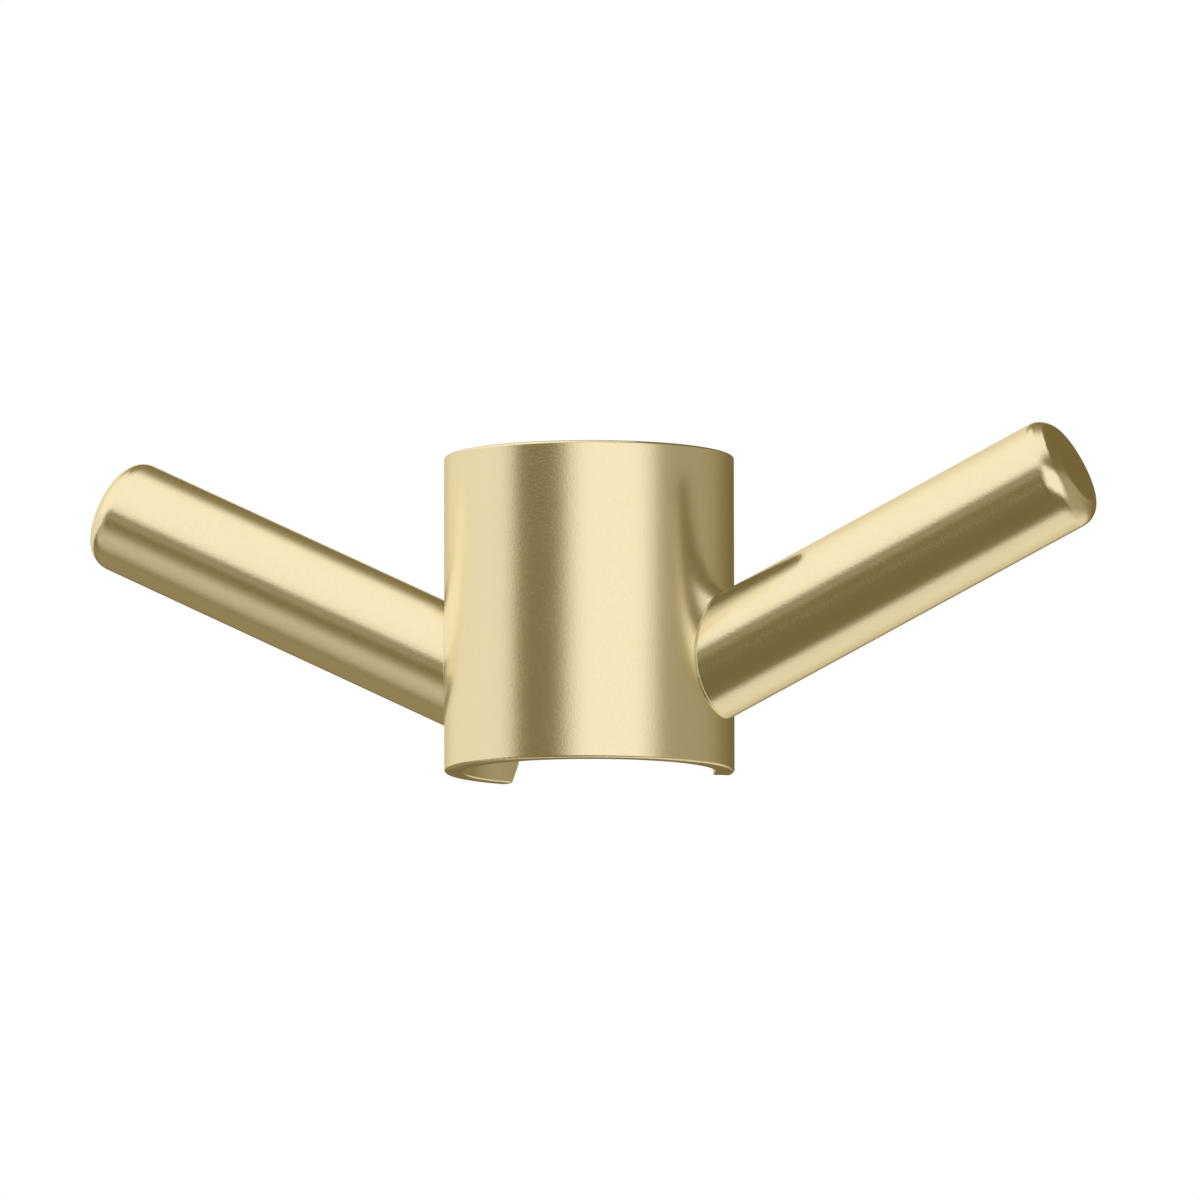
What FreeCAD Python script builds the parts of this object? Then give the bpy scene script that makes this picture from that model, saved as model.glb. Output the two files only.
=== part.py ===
import FreeCAD, Part
import math
import os

# A double hook for an upright round rail: a slotted tube sleeve with a sloping peg on each side.
# The origin is on the rail's axis at the sleeve's lower rim. +Z is up, the slot faces +Y and the
# pegs point along -X and +X. Lengths are in millimetres and angles in degrees.

# The rail, and how loosely the sleeve slides on it
rail_diameter = 32.0
rail_clearance = 0.5

# The sleeve
sleeve_wall = 2.5
sleeve_height = 41.5
rim_round = 0.35
bore_break = 0.15

# The slot down the sleeve's back: its cheeks point at the rail's axis and flare at both ends
slot_angle = 108.0
flare_width = 1.1
flare_height = 2.6
lip_round = 0.5

# The pegs: the seat height is where a peg's axis meets the outside of the sleeve, and the
# length runs along that axis from there to the free end
peg_diameter = 15.0
peg_tilt = 25.4
peg_seat_height = 14.6
peg_length = 53.4
peg_end_round = 2.8
peg_root_chamfer = 0.2

# The turned tenon on each peg, in its socket through the sleeve's wall
tenon_diameter = 10.0
tenon_clearance = 0.05
tenon_setback = 0.1

bore_radius = rail_diameter / 2 + rail_clearance
sleeve_radius = bore_radius + sleeve_wall
peg_radius = peg_diameter / 2
overcut = 1.0

up = FreeCAD.Vector(0, 0, 1)
centre = FreeCAD.Vector(0, 0, 0)


def outline_face(edges):
    """A flat face inside a closed run of edges."""
    return Part.Face(Part.Wire(edges))


def quarter_arc(start, corner, end):
    """The round that replaces a square corner, from start to end."""
    middle = start + end - corner
    radius = (start - corner).Length
    bulge = middle + (corner - middle).normalize() * radius
    return Part.Arc(start, bulge, end).toShape()


def polyline(points):
    """Straight edges from each point to the next."""
    return [Part.makeLine(a, b) for a, b in zip(points, points[1:])]


def profile_point(radius, height):
    """A point of a turned section, which starts and closes in the slot, clear of the metal."""
    return FreeCAD.Vector(0, radius, height)


def turned_form():
    """The sleeve as a full ring, with rounded outer rims and the bore's edges broken."""
    low_outer = profile_point(sleeve_radius, 0)
    high_outer = profile_point(sleeve_radius, sleeve_height)
    low_land = profile_point(sleeve_radius - rim_round, 0)
    low_side = profile_point(sleeve_radius, rim_round)
    high_side = profile_point(sleeve_radius, sleeve_height - rim_round)
    high_land = profile_point(sleeve_radius - rim_round, sleeve_height)
    bore_side = [
        high_land,
        profile_point(bore_radius + bore_break, sleeve_height),
        profile_point(bore_radius, sleeve_height - bore_break),
        profile_point(bore_radius, bore_break),
        profile_point(bore_radius + bore_break, 0),
        low_land,
    ]
    edges = [
        quarter_arc(low_land, low_outer, low_side),
        Part.makeLine(low_side, high_side),
        quarter_arc(high_side, high_outer, high_land),
    ]
    return outline_face(edges + polyline(bore_side)).revolve(centre, up, 360)


def slot_sector():
    """The slot's main run: a wedge about the rail's axis, carried through both rims."""
    section = [
        FreeCAD.Vector(bore_radius / 2, 0, -overcut),
        FreeCAD.Vector(sleeve_radius + overcut, 0, -overcut),
        FreeCAD.Vector(sleeve_radius + overcut, 0, sleeve_height + overcut),
        FreeCAD.Vector(bore_radius / 2, 0, sleeve_height + overcut),
    ]
    face = outline_face(polyline(section + section[:1]))
    face.rotate(centre, up, 90 - slot_angle / 2)
    return face.revolve(centre, up, slot_angle)


def slot_flare(side, rim_height, inwards):
    """The wedge that opens one cheek of the slot at one rim."""
    cheek = math.radians(90 - slot_angle / 2)
    outwards = FreeCAD.Vector(side * math.cos(cheek), math.sin(cheek), 0)
    away = FreeCAD.Vector(side * math.sin(cheek), -math.cos(cheek), 0)
    rim = FreeCAD.Vector(0, 0, rim_height)
    section = [
        rim - away * overcut + inwards * flare_height,
        rim + inwards * flare_height,
        rim + away * flare_width,
        rim + away * flare_width - inwards * overcut,
        rim - away * overcut - inwards * overcut,
    ]
    face = outline_face(polyline(section + section[:1]))
    return face.extrude(outwards * (sleeve_radius + overcut))


def is_lip_edge(edge):
    """True for the upright edges of the slot, on the bore or on the outside."""
    if len(edge.Vertexes) != 2:
        return False
    start, end = (vertex.Point for vertex in edge.Vertexes)
    rise = abs(start.z - end.z)
    across = abs(math.hypot(start.x, start.y) - math.hypot(end.x, end.y))
    return rise > flare_height / 2 and across < sleeve_wall / 4 and start.y > 0


def peg_direction(side):
    """The way a peg points: side is -1 for the left peg and 1 for the right one."""
    tilt = math.radians(peg_tilt)
    return FreeCAD.Vector(side * math.cos(tilt), 0, math.sin(tilt))


def peg_seat(side):
    """Where a peg's axis meets the outside of the sleeve."""
    return FreeCAD.Vector(side * sleeve_radius, 0, peg_seat_height)


def inner_reach():
    """How far a peg's axis runs from its seat to the sleeve's axis."""
    return sleeve_radius / math.cos(math.radians(peg_tilt))


def bar_along(side, radius, length):
    """A plain bar on a peg's axis, from the sleeve's axis to a length past the seat."""
    start = peg_seat(side) - peg_direction(side) * inner_reach()
    return Part.makeCylinder(radius, inner_reach() + length, start, peg_direction(side))


def upright_core(radius):
    """A round core on the rail's axis, taller than anything that it trims."""
    reach = sleeve_height + peg_length + peg_diameter
    return Part.makeCylinder(radius, 2 * reach, FreeCAD.Vector(0, 0, -reach), up)


def slotted_tube():
    """The tube with its slot, its lips rounded while its ends are still square."""
    section = [
        profile_point(bore_radius, 0),
        profile_point(sleeve_radius, 0),
        profile_point(sleeve_radius, sleeve_height),
        profile_point(bore_radius, sleeve_height),
        profile_point(bore_radius, 0),
    ]
    tube = outline_face(polyline(section)).revolve(centre, up, 360).cut(slot_sector())
    for side in (-1, 1):
        tube = tube.cut(slot_flare(side, 0, up))
        tube = tube.cut(slot_flare(side, sleeve_height, -up))
    return tube.makeFillet(lip_round, [edge for edge in tube.Edges if is_lip_edge(edge)])


def sleeve():
    """The slotted tube with its ends turned and the two sockets drilled."""
    body = slotted_tube().common(turned_form())
    for side in (-1, 1):
        body = body.cut(bar_along(side, tenon_diameter / 2 + tenon_clearance, peg_radius))
    return body


def peg(side):
    """A bar with a rounded free end and a saddled root, and its tenon trimmed inside the bore."""
    bar = bar_along(side, peg_radius, peg_length)
    tip = peg_seat(side) + peg_direction(side) * peg_length
    end_edges = [edge for edge in bar.Edges if (edge.CenterOfMass - tip).Length < peg_radius / 2]
    bar = bar.makeFillet(peg_end_round, end_edges)
    bar = bar.cut(upright_core(sleeve_radius))
    root_edges = [edge for edge in bar.Edges if on_sleeve(edge)]
    bar = bar.makeChamfer(peg_root_chamfer, root_edges)
    tenon = bar_along(side, tenon_diameter / 2, peg_radius)
    tenon = tenon.cut(upright_core(bore_radius + tenon_setback))
    return bar.fuse(tenon).removeSplitter()


def on_sleeve(edge):
    """True for an edge that lies on the outside of the sleeve."""
    points = edge.discretize(9)
    return all(abs(math.hypot(p.x, p.y) - sleeve_radius) < 0.01 for p in points)


def export(shape, node):
    """Write one sub-part to its own file."""
    solid = shape.Solids[0]
    print(node, "solids", len(shape.Solids), "valid", shape.isValid(), "volume", round(solid.Volume, 1))
    solid.exportStep(os.path.join("parts", node + ".step"))


os.makedirs("parts", exist_ok=True)
export(sleeve(), "sleeve")
export(peg(-1), "left_peg")
export(peg(1), "right_peg")
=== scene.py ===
import bpy
import math
from mathutils import Matrix, Vector

# A slide-on double hook in brushed pale gold, seen from the front, a little from the right and from below.
# The CAD's own solids carry the looks, so nearly everything here is light and finish.

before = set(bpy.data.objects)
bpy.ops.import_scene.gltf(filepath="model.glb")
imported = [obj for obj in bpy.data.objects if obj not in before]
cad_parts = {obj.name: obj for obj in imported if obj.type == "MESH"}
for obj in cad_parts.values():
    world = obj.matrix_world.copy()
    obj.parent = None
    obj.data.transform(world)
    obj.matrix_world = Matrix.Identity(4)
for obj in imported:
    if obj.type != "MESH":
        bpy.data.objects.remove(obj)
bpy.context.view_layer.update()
print("frame loaded:", ", ".join(sorted(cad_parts)))


def facingFrom(azimuth, elevation):
    # the way towards a place round the hook and the level way across it, from degrees
    turn = math.radians(azimuth)
    lift = math.radians(elevation)
    towards = Vector((math.sin(turn) * math.cos(lift), -math.cos(turn) * math.cos(lift), math.sin(lift)))
    return towards, Vector((math.cos(turn), math.sin(turn), 0))


# The camera stands where the photograph was taken from, with a long lens.
cameraView = {
    "azimuth": 20.43,  # degrees round from straight in front, towards the right peg
    "elevation": -6.56,  # below the hook, looking up
    "roll": -0.084,
    "distance": 2.307,  # metres
    "aimAcross": 0.001412,  # the point that it looks at, from the sleeve's foot
    "aimUp": 0.022555,
    "focalPixels": 17632,  # in pixels of the square frame
    "framePixels": 1200,
    "sensorWidth": 36,  # millimetres
    "nearest": 0.05,
    "farthest": 50,
}


def placeCamera(view):
    back, across = facingFrom(view["azimuth"], view["elevation"])
    upward = back.cross(across)
    aim = across * view["aimAcross"] + upward * view["aimUp"]
    camera = bpy.data.objects.new("camera", bpy.data.cameras.new("camera"))
    bpy.context.scene.collection.objects.link(camera)
    camera.data.sensor_width = view["sensorWidth"]
    camera.data.lens = view["focalPixels"] / view["framePixels"] * view["sensorWidth"]
    camera.data.clip_start = view["nearest"]
    camera.data.clip_end = view["farthest"]
    roll = Matrix.Rotation(math.radians(view["roll"]), 3, "Z")
    turn = Matrix((across, upward, back)).transposed() @ roll
    camera.matrix_world = Matrix.Translation(aim + back * view["distance"]) @ turn.to_4x4()
    bpy.context.scene.camera = camera


placeCamera(cameraView)
bpy.context.scene.view_settings.view_transform = "Standard"
print("camera placed")


# Helpers for nodes: an input is either another node's output or a plain value.


def addNode(tree, kind, **settings):
    node = tree.nodes.new(kind)
    for name, value in settings.items():
        setattr(node, name, value)
    return node


def feed(tree, socket, value):
    if isinstance(value, bpy.types.NodeSocket):
        tree.links.new(value, socket)
    else:
        socket.default_value = value


def calc(tree, operation, *inputs):
    node = addNode(tree, "ShaderNodeMath", operation=operation)
    for socket, value in zip(node.inputs, inputs):
        feed(tree, socket, value)
    return node.outputs[0]


def vectorCalc(tree, operation, *inputs):
    node = addNode(tree, "ShaderNodeVectorMath", operation=operation)
    for socket, value in zip(node.inputs, inputs):
        feed(tree, socket, value)
    return node.outputs["Value" if operation in ("DOT_PRODUCT", "LENGTH") else "Vector"]


def scaled(tree, vector, scale):
    node = addNode(tree, "ShaderNodeVectorMath", operation="SCALE")
    feed(tree, node.inputs[0], vector)
    feed(tree, node.inputs["Scale"], scale)
    return node.outputs[0]


def blend(tree, factor, first, second):
    node = addNode(tree, "ShaderNodeMix", data_type="FLOAT")
    for socket, value in zip((node.inputs[0], node.inputs[2], node.inputs[3]), (factor, first, second)):
        feed(tree, socket, value)
    return node.outputs[0]


def mixColour(tree, factor, first, second):
    node = addNode(tree, "ShaderNodeMix", data_type="RGBA")
    for socket, value in zip((node.inputs[0], node.inputs[6], node.inputs[7]), (factor, first, second)):
        feed(tree, socket, (*value, 1) if isinstance(value, tuple) else value)
    return node.outputs[2]


def smoothRamp(tree, value, start, end, first, last):
    node = addNode(tree, "ShaderNodeMapRange", interpolation_type="SMOOTHSTEP")
    names = ("Value", "From Min", "From Max", "To Min", "To Max")
    for name, given in zip(names, (value, start, end, first, last)):
        feed(tree, node.inputs[name], given)
    return node.outputs["Result"]


def cloudiness(tree, vector, detail):
    node = addNode(tree, "ShaderNodeTexNoise")
    feed(tree, node.inputs["Vector"], vector)
    feed(tree, node.inputs["Scale"], 1.0)
    feed(tree, node.inputs["Detail"], detail)
    return node.outputs["Fac"]


def newGroup(name, inputs, outputs):
    tree = bpy.data.node_groups.new(name, "ShaderNodeTree")
    for label, kind, value in inputs:
        socket = tree.interface.new_socket(name=label, in_out="INPUT", socket_type="NodeSocket" + kind)
        if value is not None:
            socket.default_value = value
    for label, kind in outputs:
        tree.interface.new_socket(name=label, in_out="OUTPUT", socket_type="NodeSocket" + kind)
    return tree, tree.nodes.new("NodeGroupInput").outputs, tree.nodes.new("NodeGroupOutput").inputs


def useGroup(tree, group, **inputs):
    node = addNode(tree, "ShaderNodeGroup", node_tree=group)
    for label, value in inputs.items():
        feed(tree, node.inputs[label], value)
    return node


# The studio is soft cards on the sky, each given as it would hang one metre from the hook.
studio = {
    "gloom": 0.161,  # how bright the room is between the cards
    "cards": [
        # azimuth, elevation, half width, half height, soft sides, soft top and bottom, brightness;
        # each hangs in front of the ones above it
        ("rightWall", 110.6, -9.5, 1.14, 0.76, 1.71, 0.16, 0.35),
        ("backFloor", 178.3, -54, 0.73, 0.80, 1.26, 0.41, 0.82),
        ("leftFloor", -136.7, -32.2, 0.60, 0.33, 0.46, 0.18, 0.28),
        ("lowLeft", -60.8, -30.8, 0.36, 0.29, 0.44, 1.00, 0.64),
        ("leftWall", -93.1, 20, 1.27, 0.59, 0.76, 0.10, 0.85),
        ("overhead", -43.2, 61.3, 0.95, 1.18, 0.77, 0.15, 1.00),
        ("front", 38.1, -3, 0.72, 0.53, 0.63, 0.24, 1.00),
        ("backLeft", -152.7, 13.5, 0.27, 0.19, 0.11, 0.17, 0.97),
        ("frontFlag", -27.4, -1.1, 0.40, 0.06, 0.37, 0.06, 0.34),
        ("topFlag", -158, 57, 0.21, 0.32, 0.09, 0.46, 0.24),
        ("backFlag", -179.7, 3.5, 0.67, 0.12, 2.36, 0.22, 0.17),
    ],
    # hangs so close over the right peg's end that the sleeve doesn't show it
    "nearCard": ("rightFlag", 62.7, 60, 0.55, 0.38, 0.15, 0.12, 0.16),
    "echoDepth": 1.5,  # light that has bounced more often than this passes behind the near card
    # the darker a part of the room is, the warmer:
    # each channel is (gain * light ** (1 / bend) + cast) ** bend, over the metal's own
    "bend": 2.4,
    "gain": 0.9145,
    "casts": (0.0558, 0.0, -0.1598),
    "full": (0.930, 0.807, 0.521),  # the metal's own colour, which the white cards show
}


def softCard():
    # the light from a soft-edged card, or from what is behind it, in one direction
    tree, given, result = newGroup(
        "softCard",
        [
            ("Direction", "Vector", None),
            ("Facing", "Vector", None),
            ("Across", "Vector", None),
            ("Upward", "Vector", None),
            ("HalfWidth", "Float", 0.5),
            ("HalfHeight", "Float", 0.5),
            ("SoftSides", "Float", 0.1),
            ("SoftEnds", "Float", 0.1),
            ("Brightness", "Float", 1.0),
            ("Behind", "Float", 0.0),
        ],
        [("Light", "Float")],
    )
    edgeOn = 0.001  # a direction nearer than this to the card's own plane misses it
    depth = vectorCalc(tree, "DOT_PRODUCT", given["Direction"], given["Facing"])
    ahead = calc(tree, "MAXIMUM", depth, edgeOn)
    cover = calc(tree, "GREATER_THAN", depth, edgeOn)
    for side, half, soft in (("Across", "HalfWidth", "SoftSides"), ("Upward", "HalfHeight", "SoftEnds")):
        offset = calc(tree, "ABSOLUTE", vectorCalc(tree, "DOT_PRODUCT", given["Direction"], given[side]))
        reach = calc(tree, "MULTIPLY", given[soft], 0.5)
        start = calc(tree, "SUBTRACT", given[half], reach)
        end = calc(tree, "ADD", given[half], reach)
        edge = smoothRamp(tree, calc(tree, "DIVIDE", offset, ahead), start, end, 1.0, 0.0)
        cover = calc(tree, "MULTIPLY", cover, edge)
    gain = calc(tree, "SUBTRACT", given["Brightness"], given["Behind"])
    feed(tree, result["Light"], calc(tree, "ADD", given["Behind"], calc(tree, "MULTIPLY", cover, gain)))
    return tree


def hangCard(tree, card, direction, behind, placed):
    name, azimuth, elevation, halfWidth, halfHeight, softSides, softEnds, brightness = placed
    facing, across = facingFrom(azimuth, elevation)
    node = useGroup(
        tree,
        card,
        Direction=direction,
        Facing=facing,
        Across=across,
        Upward=facing.cross(across),
        HalfWidth=halfWidth,
        HalfHeight=halfHeight,
        SoftSides=softSides,
        SoftEnds=softEnds,
        Brightness=brightness,
        Behind=behind,
    )
    node.label = name
    return node.outputs["Light"]


def warmLight(tree, light, room):
    channels = addNode(tree, "ShaderNodeCombineColor")
    bent = calc(tree, "MULTIPLY", calc(tree, "POWER", light, 1 / room["bend"]), room["gain"])
    for socket, cast, full in zip(channels.inputs, room["casts"], room["full"]):
        shown = calc(tree, "MAXIMUM", calc(tree, "ADD", bent, cast), 0.0)
        feed(tree, socket, calc(tree, "DIVIDE", calc(tree, "POWER", shown, room["bend"]), full))
    return channels.outputs[0]


def lightStudio(room):
    world = bpy.data.worlds.new("studio")
    world.use_nodes = True
    bpy.context.scene.world = world
    tree = world.node_tree
    tree.nodes.clear()
    direction = addNode(tree, "ShaderNodeTexCoord").outputs["Generated"]
    paths = addNode(tree, "ShaderNodeLightPath").outputs
    card = softCard()
    light = room["gloom"]
    for placed in room["cards"]:
        light = hangCard(tree, card, direction, light, placed)
    near = hangCard(tree, card, direction, light, room["nearCard"])
    light = blend(tree, calc(tree, "GREATER_THAN", paths["Ray Depth"], room["echoDepth"]), near, light)
    # the camera itself sees plain white, and the metal sees the cards
    white = addNode(tree, "ShaderNodeBackground")
    cards = addNode(tree, "ShaderNodeBackground")
    feed(tree, white.inputs["Color"], (1, 1, 1, 1))
    feed(tree, cards.inputs["Color"], warmLight(tree, light, room))
    either = addNode(tree, "ShaderNodeMixShader")
    feed(tree, either.inputs[0], paths["Is Camera Ray"])
    feed(tree, either.inputs[1], cards.outputs[0])
    feed(tree, either.inputs[2], white.outputs[0])
    feed(tree, addNode(tree, "ShaderNodeOutputWorld").inputs["Surface"], either.outputs[0])


lightStudio(studio)
print("studio lit")


sleeveFinish = {
    "axis": (0, 0, 1),  # the metal was drawn this way
    "origin": (0, 0, 0),
    "specks": 3200,  # cycles a metre
    "marks": 5200,  # across the drawing marks
    "markLength": 9,  # how many times longer a mark is than it is wide
    "markShare": 0.12,  # how deep the marks are beside the specks
    "clouds": 160,  # cycles a metre of the slow wander
    "cloudyTone": 0.3,  # how much of the tone and of the haze is the slow wander
    "cloudyHaze": 0.5,
    "depth": 9.0e-6,  # metres
    "colour": (0.930, 0.807, 0.521),
    "edgeColour": (0.966, 0.90, 0.70),  # keeps the metal from going white at a low angle
    "echoColour": (1.0, 1.0, 1.0),  # what one bar shows of another, already warm from the room
    "tone": 0.05,  # how far the grain lightens and darkens the colour
    "roughness": 0.17,
    "haze": 0.02,  # how far the roughness wanders
    "drawn": 0.82,  # how much wider the gloss is round the metal than along it
    "endSpread": 2.0,  # small, so that it turns the gloss outwards on a flat end alone
}

pegSlope = math.radians(25.4)  # above level
pegOrigin = (0, 0, 0.00558)  # where the pegs' axes meet the rail's
pegFinish = {
    "left_peg": dict(sleeveFinish, axis=(-math.cos(pegSlope), 0, math.sin(pegSlope)), origin=pegOrigin),
    "right_peg": dict(sleeveFinish, axis=(math.cos(pegSlope), 0, math.sin(pegSlope)), origin=pegOrigin),
}

# A painted highlight: a pale, non-metal line on the front of the right peg's root alone, standing in for
# the glint where the peg meets the sleeve.
paintedRootHighlight = {
    "side": (0.11, -0.966, -0.234),  # the way that it faces, straight out from the peg's axis
    "fadeStart": 0.55,  # the line begins where the peg's side faces that way so nearly,
    "fadeEnd": 0.8,  # and is full from here
    "start": 0.01914,  # metres from the rail's axis
    "end": 0.01928,
    # the painted highlight's pale colour
    "colour": (1.0, 0.92, 0.68),
}


def barPlace(tree, axis, origin):
    # where a point lies on a bar: straight out from its axis, and how far along
    point = addNode(tree, "ShaderNodeTexCoord").outputs["Object"]
    local = vectorCalc(tree, "SUBTRACT", point, origin)
    along = vectorCalc(tree, "DOT_PRODUCT", local, axis)
    return vectorCalc(tree, "SUBTRACT", local, scaled(tree, axis, along)), along


def drawnGrain():
    # fine specks and longer marks that run along a bar, with a slow wander of tone and haze
    tree, given, result = newGroup(
        "drawnGrain",
        [
            ("Axis", "Vector", None),
            ("Origin", "Vector", None),
            ("Specks", "Float", 3200),
            ("Marks", "Float", 5200),
            ("MarkLength", "Float", 9),
            ("MarkShare", "Float", 0.12),
            ("Clouds", "Float", 160),
            ("CloudyTone", "Float", 0.3),
            ("CloudyHaze", "Float", 0.5),
        ],
        [("Height", "Float"), ("Tone", "Float"), ("Haze", "Float")],
    )
    outward, along = barPlace(tree, given["Axis"], given["Origin"])
    point = addNode(tree, "ShaderNodeTexCoord").outputs["Object"]
    speck = cloudiness(tree, scaled(tree, point, given["Specks"]), 1.0)
    squeeze = calc(tree, "DIVIDE", given["Marks"], given["MarkLength"])
    down = scaled(tree, given["Axis"], calc(tree, "MULTIPLY", along, squeeze))
    mark = cloudiness(tree, vectorCalc(tree, "ADD", scaled(tree, outward, given["Marks"]), down), 1.0)
    cloud = cloudiness(tree, scaled(tree, point, given["Clouds"]), 2.0)
    shallow = calc(tree, "MULTIPLY", mark, given["MarkShare"])
    feed(tree, result["Height"], calc(tree, "ADD", speck, shallow))
    feed(tree, result["Tone"], blend(tree, given["CloudyTone"], speck, cloud))
    feed(tree, result["Haze"], blend(tree, given["CloudyHaze"], speck, cloud))
    return tree


def paintedHighlightLine():
    # a painted highlight: a fine pale line on one side of a peg's root, between two distances from the
    # rail's axis
    tree, given, result = newGroup(
        "paintedHighlightLine",
        [
            ("Axis", "Vector", None),
            ("Origin", "Vector", None),
            ("Side", "Vector", None),
            ("FadeStart", "Float", 0.5),
            ("FadeEnd", "Float", 0.8),
            ("Start", "Float", 0.0191),
            ("End", "Float", 0.0192),
        ],
        [("Seam", "Float")],
    )
    fromRail = vectorCalc(tree, "LENGTH", barPlace(tree, (0, 0, 1), (0, 0, 0))[0])
    past = calc(tree, "GREATER_THAN", fromRail, given["Start"])
    short = calc(tree, "LESS_THAN", fromRail, given["End"])
    outward = vectorCalc(tree, "NORMALIZE", barPlace(tree, given["Axis"], given["Origin"])[0])
    faces = vectorCalc(tree, "DOT_PRODUCT", outward, given["Side"])
    front = smoothRamp(tree, faces, given["FadeStart"], given["FadeEnd"], 0.0, 1.0)
    line = calc(tree, "MULTIPLY", past, short)
    feed(tree, result["Seam"], calc(tree, "MULTIPLY", line, front))
    return tree


grain = drawnGrain()
highlightLineGroup = paintedHighlightLine()


def satinGold(name, finish, paintedLine):
    material = bpy.data.materials.new(name)
    material.use_nodes = True
    tree = material.node_tree
    shader = tree.nodes["Principled BSDF"].inputs
    surface = useGroup(
        tree,
        grain,
        Axis=finish["axis"],
        Origin=finish["origin"],
        Specks=finish["specks"],
        Marks=finish["marks"],
        MarkLength=finish["markLength"],
        MarkShare=finish["markShare"],
        Clouds=finish["clouds"],
        CloudyTone=finish["cloudyTone"],
        CloudyHaze=finish["cloudyHaze"],
    ).outputs
    dark = tuple(part * (1 - finish["tone"]) for part in finish["colour"])
    light = tuple(min(1.0, part * (1 + finish["tone"])) for part in finish["colour"])
    colour = mixColour(tree, surface["Tone"], dark, light)
    echo = addNode(tree, "ShaderNodeLightPath").outputs["Is Glossy Ray"]
    colour = mixColour(tree, echo, colour, finish["echoColour"])
    metal = 1.0
    if paintedLine:
        line = useGroup(
            tree,
            highlightLineGroup,
            Axis=finish["axis"],
            Origin=finish["origin"],
            Side=paintedLine["side"],
            FadeStart=paintedLine["fadeStart"],
            FadeEnd=paintedLine["fadeEnd"],
            Start=paintedLine["start"],
            End=paintedLine["end"],
        ).outputs["Seam"]
        # painted highlight: pale, non-metal colour along the front of the peg's root
        colour = mixColour(tree, line, colour, paintedLine["colour"])
        metal = calc(tree, "SUBTRACT", 1.0, line)
    feed(tree, shader["Base Color"], colour)
    feed(tree, shader["Metallic"], metal)
    glossy = finish["roughness"] - finish["haze"]
    dull = finish["roughness"] + finish["haze"]
    feed(tree, shader["Roughness"], blend(tree, surface["Haze"], glossy, dull))
    bump = addNode(tree, "ShaderNodeBump")
    feed(tree, bump.inputs["Strength"], 1.0)
    feed(tree, bump.inputs["Distance"], finish["depth"])
    feed(tree, bump.inputs["Height"], surface["Height"])
    feed(tree, shader["Normal"], bump.outputs["Normal"])
    # the gloss spreads round the bar, and straight out from its axis on a flat end
    facing = addNode(tree, "ShaderNodeNewGeometry").outputs["Normal"]
    around = vectorCalc(tree, "CROSS_PRODUCT", finish["axis"], facing)
    outward = scaled(tree, barPlace(tree, finish["axis"], finish["origin"])[0], finish["endSpread"])
    feed(tree, shader["Tangent"], vectorCalc(tree, "ADD", around, outward))
    feed(tree, shader["Anisotropic"], finish["drawn"])
    feed(tree, shader["Specular Tint"], (*finish["edgeColour"], 1))
    # the bare seam here is the painted highlight line, the only part that is not metal
    feed(tree, shader["Specular IOR Level"], 0.0)  # only the bare seam would show it
    return material


def dress(nodeName, finish, paintedLine=None):
    material = satinGold(nodeName.replace("_", "") + "Gold", finish, paintedLine)
    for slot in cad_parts[nodeName].material_slots:
        slot.material = material


dress("sleeve", sleeveFinish)
dress("left_peg", pegFinish["left_peg"])
# the right peg carries the painted highlight at its root
dress("right_peg", pegFinish["right_peg"], paintedRootHighlight)
print("finishes made")


floorPlan = {
    "drop": 0.5,  # metres below the hook, under the camera's line of sight
    "half": 6.0,
    "colour": (0.86, 0.85, 0.83),
    "roughness": 0.9,
}


def layFloor(plan):
    half = plan["half"]
    level = -plan["drop"]
    corners = [(-half, -half, level), (half, -half, level), (half, half, level), (-half, half, level)]
    mesh = bpy.data.meshes.new("floor")
    mesh.from_pydata(corners, [], [(0, 1, 2, 3)])
    floor = bpy.data.objects.new("floor", mesh)
    bpy.context.scene.collection.objects.link(floor)
    material = bpy.data.materials.new("floor")
    material.use_nodes = True
    shader = material.node_tree.nodes["Principled BSDF"].inputs
    shader["Base Color"].default_value = (*plan["colour"], 1)
    shader["Roughness"].default_value = plan["roughness"]
    mesh.materials.append(material)
    floor.visible_glossy = False  # the metal shows the cards, not the floor


layFloor(floorPlan)
print("floor laid")
